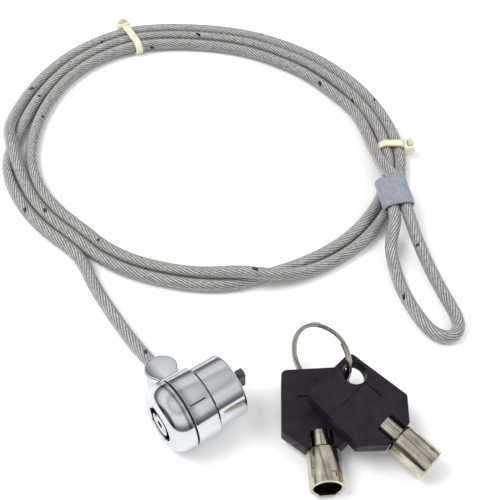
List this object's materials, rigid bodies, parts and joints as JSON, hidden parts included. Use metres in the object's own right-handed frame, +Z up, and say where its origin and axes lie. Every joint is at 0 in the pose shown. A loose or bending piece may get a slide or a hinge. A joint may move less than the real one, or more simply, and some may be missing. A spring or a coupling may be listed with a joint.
{
  "type": "laptop cable lock",
  "caption": "Laptop security lock: swivelling tubular-key lock head on a coiled, jacketed wire rope with a crimped eye, and a pair of tubular keys on a split ring.",
  "frame": {"origin": "on the lock head's spindle axis, in the flat rear face that seats against the locked device", "axes": "+X along the spindle, out of the nose towards the device; Y level, the cable leaves the collar towards +Y; +Z up from the surface everything lies on"},
  "size_m": [0.1365, 0.2131, 0.0205],
  "materials": {
    "chrome": "polished",
    "core_steel": "bright",
    "dark_steel": "oiled",
    "spring_steel": "bright",
    "brass": "turned",
    "washer_plastic": "matt",
    "jacketed_rope": "stranded steel in a clear jacket",
    "crimp_alloy": "matt cast",
    "tie_nylon": "natural nylon",
    "key_plastic": "fine grain",
    "key_nickel": "satin nickel"
  },
  "bodies": {
    "cable_assembly": {"swivel_collar": "chrome", "cable_stop": "dark_steel", "cable_tail": "jacketed_rope", "cable_coil": "jacketed_rope", "cable_eye": "jacketed_rope", "eye_ferrule": "crimp_alloy", "tie_top": "tie_nylon", "tie_side": "tie_nylon"},
    "lock_body": {"front_cap": "chrome", "rear_housing": "chrome", "lock_sleeve": "dark_steel", "collar_washers": "washer_plastic", "pin_block": "brass", "driver_pins": "brass", "pin_springs": "spring_steel", "spring_plate": "dark_steel", "core_stop_pin": "dark_steel", "rear_plate": "core_steel", "nose_pins": "core_steel"},
    "turning_core": {"lock_core": "core_steel", "core_post": "core_steel", "t_bar_spindle": "core_steel", "spindle_clip": "spring_steel"},
    "pin_set": {"key_pins": "brass"},
    "key_ring": {"split_ring": "spring_steel"},
    "key_1": {"key_1_bow": "key_plastic", "key_1_barrel": "key_nickel"},
    "key_2": {"key_2_bow": "key_plastic", "key_2_barrel": "key_nickel"}
  },
  "joints": [
    {"name": "head_swivel", "type": "hinge", "parent": "cable_assembly", "child": "lock_body", "pos_m": [0, 0, 0], "axis": [1, 0, 0], "continuous": true},
    {"name": "key_turn", "type": "hinge", "parent": "lock_body", "child": "turning_core", "pos_m": [0, 0, 0], "axis": [1, 0, 0], "range_deg": [0, 90]},
    {"name": "pins_in", "type": "slide", "parent": "turning_core", "child": "pin_set", "axis": [1, 0, 0], "range_m": [0, 0.0012], "stiffness_N_per_m": 60},
    {"name": "ring_lift", "type": "slide", "parent": "cable_assembly", "child": "key_ring", "axis": [0, 0, 1], "range_m": [0, 0.06]},
    {"name": "key_1_round_ring", "type": "hinge", "parent": "key_ring", "child": "key_1", "pos_m": [0.02622, -0.00706, -0.00037], "axis": [-0.9052, -0.1743, 0.3875], "range_deg": [0, 75]},
    {"name": "key_2_round_ring", "type": "hinge", "parent": "key_1", "child": "key_2", "pos_m": [0.02622, -0.00706, -0.00037], "axis": [-0.9052, -0.1743, 0.3875], "range_deg": [0, 75]}
  ]
}
